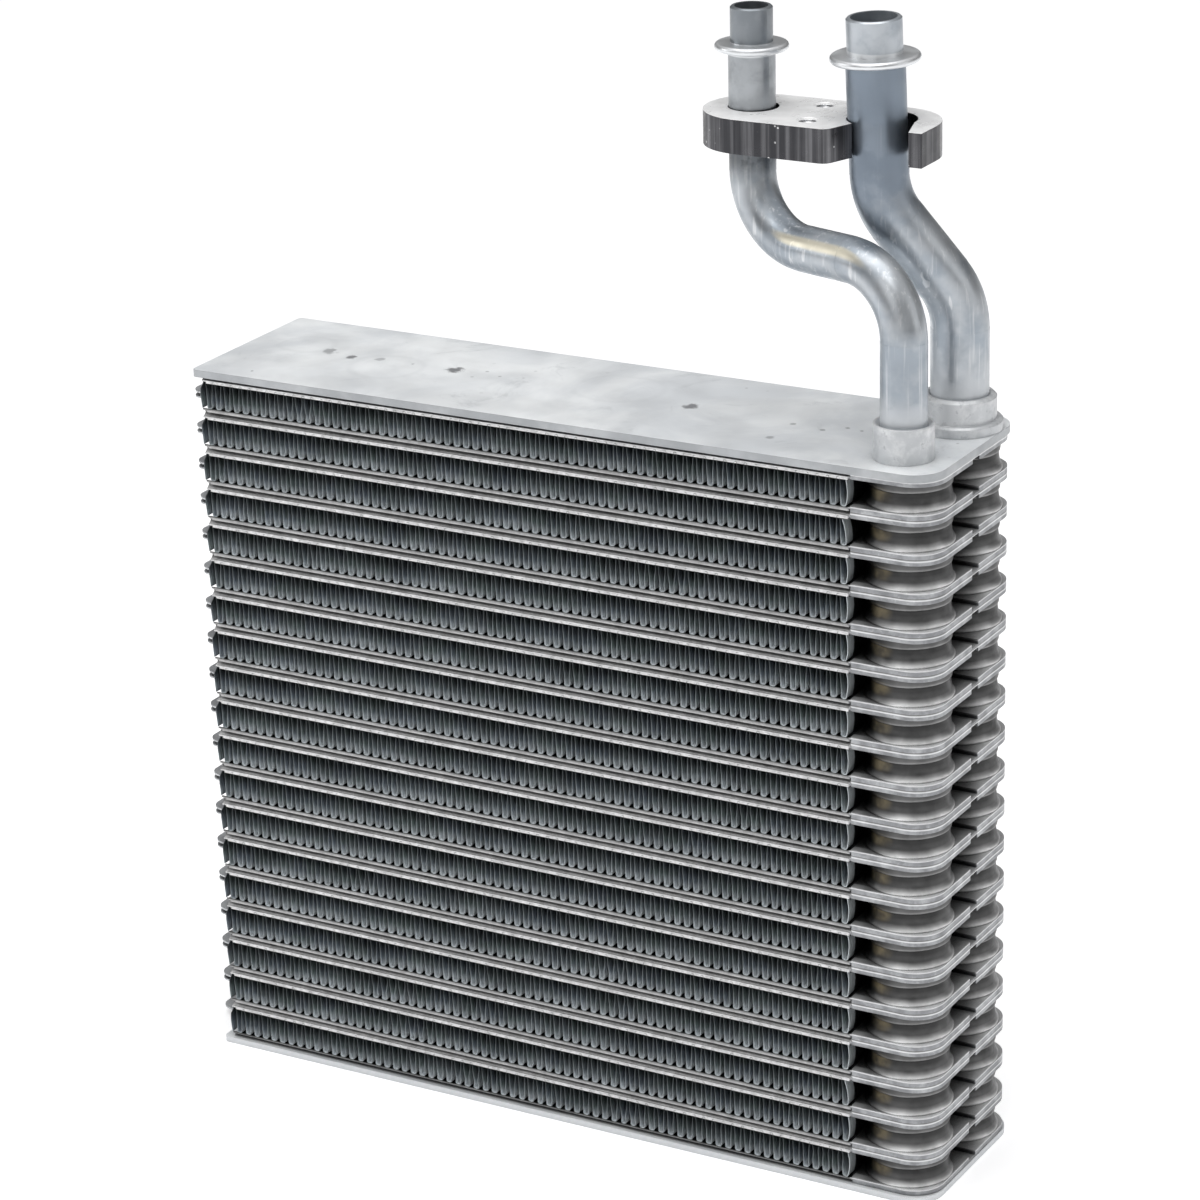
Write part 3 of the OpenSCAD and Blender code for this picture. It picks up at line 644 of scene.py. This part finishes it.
def foldLine(low, high, row, rng):
    # Points along one cut edge of the strip, from its free leg at the closed end to the one at the tanks
    form = finForm
    topDrop, lowDrop = form["crestDrop"][1], form["crestDrop"][0]
    half = form["pitch"] / 2
    folds = 2 * round((high.x - low.x) / form["pitch"])
    start = low.x + (high.x - low.x - folds * half) / 2
    top = high.z - form["sheet"] / 2
    bottom = low.z + form["sheet"] / 2
    points = []
    for step in range(form["legSteps"]):
        t = step / form["legSteps"]
        bend = form["freeBulge"] * math.sin(math.pi * t ** 1.4)
        points.append([start - form["freeLeg"] - bend, bottom + (top - topDrop - bottom) * t])
    for fold in range(folds):
        up = fold % 2 == 0
        middle = start + (fold + 0.5) * half + swayOf(fold, row)
        peak, nextPeak = (top, bottom) if up else (bottom, top)
        drop, nextDrop = (-topDrop, lowDrop) if up else (lowDrop, -topDrop)
        crestHalf, nextHalf = form["crestHalf"][up], form["crestHalf"][not up]
        for step in range(form["crestSteps"] + 1):
            angle = math.pi * step / form["crestSteps"]
            swell = max(math.sin(angle), 0.0) ** 0.5
            points.append([middle - crestHalf * math.cos(angle), peak + drop * (1 - swell)])
        if fold == folds - 1:
            foot = middle + crestHalf
            lean = form["lastLean"].get(row, 0.0)
            height = top - topDrop - peak - drop
            for step in range(1, form["legSteps"] + 1):
                t = step / form["legSteps"]
                bend = form["freeBulge"] * math.sin(math.pi * t)
                points.append([foot + bend - lean * t, peak + drop + height * t])
            break
        nextMiddle = start + (fold + 1.5) * half + swayOf(fold + 1, row)
        fromX, toX = middle + crestHalf, nextMiddle - nextHalf
        fromZ, toZ = peak + drop, nextPeak + nextDrop
        bulge = rng.uniform(*form["bulge"]) * (1 if up else -1)
        crush = noise.noise(Vector((fold * form["crushStep"], row * 5.1, 9.5)))
        kink = form["kink"] * max(0.0, abs(crush) - form["crushFrom"]) * (3 if crush > 0 else -3)
        for step in range(1, form["legSteps"]):
            t = step / form["legSteps"]
            lean = kink * math.sin(2 * math.pi * (t if up else 1 - t)) * (1 if up else -1)
            bend = bulge * math.sin(math.pi * t)
            points.append([fromX + (toX - fromX) * t + bend + lean, fromZ + (toZ - fromZ) * t])
    return points


def finished(name, shape, metal, sharpFrom=None):
    # Makes the object of a finished shape, with smooth faces and edges sharp from the given angle
    mesh = bpy.data.meshes.new(name)
    shape.to_mesh(mesh)
    shape.free()
    mesh.polygons.foreach_set("use_smooth", [True] * len(mesh.polygons))
    if sharpFrom is not None:
        mesh.set_sharp_from_angle(angle=math.radians(sharpFrom))
    mesh.materials.append(metal)
    piece = bpy.data.objects.new(name, mesh)
    bpy.context.scene.collection.objects.link(piece)
    return piece


def foldedFin(name, row):
    form = finForm
    low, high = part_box(name)
    rng = random.Random(form["seed"] + row)
    shape = bmesh.new()
    line = [shape.verts.new((x, low.y, z)) for x, z in foldLine(low, high, row, rng)]
    edges = [shape.edges.new(pair) for pair in zip(line, line[1:])]
    for reach in (form["curlDepth"], high.y - low.y - 2 * form["curlDepth"], form["curlDepth"]):
        made = bmesh.ops.extrude_edge_only(shape, edges=edges)["geom"]
        edges = [part for part in made if isinstance(part, bmesh.types.BMEdge)]
        bmesh.ops.translate(shape, verts=[part for part in made if isinstance(part, bmesh.types.BMVert)],
                            vec=(0, reach, 0))
    stepX, stepZ = form["curlSteps"]
    for vert in shape.verts:
        if vert.co.y < low.y + 0.1 * mm or vert.co.y > high.y - 0.1 * mm:
            vert.co.x += form["edgeCurl"] * noise.noise(Vector((vert.co.x * stepX, row * 2.1, vert.co.z * stepZ))) * 2
    shape.normal_update()
    bmesh.ops.solidify(shape, geom=shape.faces[:], thickness=form["sheet"])
    bmesh.ops.recalc_face_normals(shape, faces=shape.faces)
    fin = finished("foldedFin_%02d" % row, shape, finMetal, form["sharpFrom"])
    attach(fin, "root")
    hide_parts(name)


for rowNumber, finName in enumerate(finNames, 1):
    foldedFin(finName, rowNumber)
print("folded", len(finNames), "fins")


# Lips: rolled edges along both long sides of each drawn pair, one below it and one in its groove
lipForm = {
    "width": 0.6 * mm,
    # lowest and highest point of each lip above the pair's middle plane
    "lower": (-2.02 * mm, -1.25 * mm),
    "upper": (0.28 * mm, 1.12 * mm),
    "rounding": 0.2 * mm,
    # how far the lips stay back from the plates' closed end
    "end": 1.2 * mm,
}


def rolledLips():
    form = lipForm
    shape = bmesh.new()
    startX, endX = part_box("top_half_plate")[0].x + form["end"], platePaint["tankStart"]
    for name in pairNames + ["top_half_plate"]:
        low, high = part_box(name)
        isHalf = name == "top_half_plate"
        middle = high.z if isHalf else (low.z + high.z) / 2
        for bottom, top in [form["lower"]] if isHalf else [form["lower"], form["upper"]]:
            for side in (low.y + form["width"] / 2, high.y - form["width"] / 2):
                centre = Vector(((startX + endX) / 2, side, middle + (top + bottom) / 2))
                spread = Vector((endX - startX, form["width"], top - bottom))
                made = bmesh.ops.create_cube(shape, size=1.0, matrix=Matrix.LocRotScale(centre, None, spread))
                edges = {edge for vert in made["verts"] for edge in vert.link_edges}
                bmesh.ops.bevel(shape, geom=list(edges), offset=form["rounding"], offset_type="OFFSET", segments=2,
                                profile=0.5, affect="EDGES", material=-1)
    lips = finished("rolledLips", shape, plateMetal)
    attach(lips, "root")


rolledLips()
print("lips rolled on", len(pairNames) + 1, "plates")


# Necks of the tanks: a bell-shaped foot on each flange and a rounded cup under the next
neckForm = {
    # groove between the front and the rear tank, and how the necks' axes stand in the flanges
    "grooveWidth": 4.4 * mm,
    "outward": 0.3 * mm,
    "endGap": 0.1 * mm,
    "margin": 0.6 * mm,
    # half the thickness of a pair's flange
    "flange": 1.65 * mm,
    "wall": 0.3 * mm,
    "facets": 64,
    "sharpFrom": 60,
    # radius and height above the flange of the foot and the waist, in mm
    "foot": [(12.20, 0.0), (12.30, 0.25), (12.30, 0.55), (12.15, 0.85), (11.85, 1.25), (11.55, 1.9),
             (11.32, 2.8), (11.18, 3.9), (11.12, 5.2)],
    # radius and depth under the next flange of the cup, from its mouth upwards, in mm
    "cup": [(11.14, 2.35), (11.3, 2.45), (11.45, 2.32), (11.55, 2.0), (11.6, 1.3), (11.65, 0.5), (11.8, 0.0)],
}


def tankNecks(name, side):
    form = neckForm
    low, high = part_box(pairNames[0])
    half = (high.y - low.y - form["grooveWidth"]) / 4
    axisX = high.x - (half - form["margin"]) - form["endGap"]
    axisY = side * (high.y - half + form["outward"])
    gap = rowPitch - 2 * form["flange"]
    outline = [(radius * mm, height * mm) for radius, height in form["foot"]]
    outline += [(radius * mm, gap - depth * mm) for radius, depth in form["cup"]]
    shape = bmesh.new()
    for level in range(len(finNames)):
        base = stackBottom + level * rowPitch + form["flange"]
        line = [shape.verts.new((axisX + radius, axisY, base + height)) for radius, height in outline]
        edges = [shape.edges.new(pair) for pair in zip(line, line[1:])]
        bmesh.ops.spin(shape, geom=line + edges, cent=(axisX, axisY, base), axis=(0, 0, 1), angle=2 * math.pi,
                       steps=form["facets"], use_merge=True, use_duplicate=False)
    bmesh.ops.recalc_face_normals(shape, faces=shape.faces)
    bmesh.ops.solidify(shape, geom=shape.faces[:], thickness=form["wall"])
    bmesh.ops.recalc_face_normals(shape, faces=shape.faces)
    necks = finished(name, shape, plateMetal, form["sharpFrom"])
    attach(necks, "root")


tankNecks("frontNecks", -1)
tankNecks("backNecks", 1)
print("necks shaped")


# Studio: pale floor, soft lights and a pale surround
studio = {
    "floorSize": 12.0,
    "floorColor": (0.93, 0.93, 0.935, 1),
    "floorCloud": 0.9,
    "floorRoughness": 0.85,
    "floorGlow": 0.42,
    # brightness of the surround against how far a direction points up, from -1 to 1
    "surround": [(-1.0, 0.30), (0.0, 0.13), (0.35, 0.19), (0.7, 0.6), (1.0, 0.95)],
    # name, place, aim, size and power of each soft light
    "lights": [
        ("overhead", (0.05, -0.3, 1.5), (0, 0, 0.1), 1.3, 9),
        ("left", (-1.4, -0.7, 0.75), (0, 0, 0.15), 0.8, 4.5),
        ("right", (1.3, 0.2, 0.6), (0, 0, 0.12), 0.7, 1.4),
        ("front", (0.2, -1.6, 1.0), (0, 0, 0.12), 0.9, 2.5),
    ],
}


def buildStudio():
    bpy.ops.mesh.primitive_plane_add(size=studio["floorSize"], location=(0, 0, bottomPlateLow.z))
    floor = bpy.context.object
    floor.name = "studioFloor"
    material, tree, shader, place = startMaterial("paleFloor", 0.0, studio["floorRoughness"])
    mottle = rescale(tree, cloud(tree, place, 6, 3), 0.3, 0.7, 0, 0.15)
    tone = blendColors(tree, mottle, studio["floorColor"], grey(studio["floorCloud"]))
    tree.links.new(tone, shader.inputs["Base Color"])
    tree.links.new(tone, shader.inputs["Emission Color"])
    shader.inputs["Emission Strength"].default_value = studio["floorGlow"]
    floor.data.materials.append(material)
    world = bpy.data.worlds.new("surround")
    world.use_nodes = True
    tree = world.node_tree
    upward = axesOf(tree, tree.nodes.new("ShaderNodeTexCoord").outputs["Generated"])[2]
    tree.links.new(toneByHeight(tree, upward, studio["surround"]), tree.nodes["Background"].inputs["Color"])
    bpy.context.scene.world = world
    for name, place, aim, size, power in studio["lights"]:
        lamp = bpy.data.lights.new(name, "AREA")
        lamp.shape = "SQUARE"
        lamp.size = size
        lamp.energy = power
        holder = bpy.data.objects.new(name, lamp)
        turn = (Vector(aim) - Vector(place)).to_track_quat("-Z", "Y").to_matrix().to_4x4()
        holder.matrix_world = Matrix.Translation(place) @ turn
        bpy.context.scene.collection.objects.link(holder)


buildStudio()

# Camera: the photograph's viewing angle, turned and tipped by these degrees
cameraView = {
    "place": (0.563781, -1.011959, 0.571321),
    "aside": 30.959,
    "down": 17.059,
    "roll": -1.738,
    # focal length, frame size and place of the optical axis in pixels, and the sensor's width in mm
    "focal": 4351.2,
    "frame": 1200,
    "axisPixel": (461.0, 380.0),
    "sensor": 36.0,
    "farEnd": 50,
}


def setCamera():
    view = cameraView
    aside, down, roll = (math.radians(view[key]) for key in ("aside", "down", "roll"))
    ahead = Vector((-math.sin(aside) * math.cos(down), math.cos(aside) * math.cos(down), -math.sin(down)))
    right = Vector((math.cos(aside), math.sin(aside), 0))
    up = right.cross(ahead)
    rolledRight = right * math.cos(roll) + up * math.sin(roll)
    rolledUp = up * math.cos(roll) - right * math.sin(roll)
    turn = Matrix((rolledRight, rolledUp, -ahead)).transposed().to_4x4()
    lens = bpy.data.cameras.new("photoCamera")
    lens.sensor_width = view["sensor"]
    lens.lens = view["focal"] / view["frame"] * view["sensor"]
    lens.shift_x = 0.5 - view["axisPixel"][0] / view["frame"]
    lens.shift_y = view["axisPixel"][1] / view["frame"] - 0.5
    lens.clip_end = view["farEnd"]
    holder = bpy.data.objects.new("photoCamera", lens)
    holder.matrix_world = Matrix.Translation(view["place"]) @ turn
    bpy.context.scene.collection.objects.link(holder)
    bpy.context.scene.camera = holder


setCamera()
bpy.context.scene.view_settings.view_transform = "Standard"
print("studio and camera set")
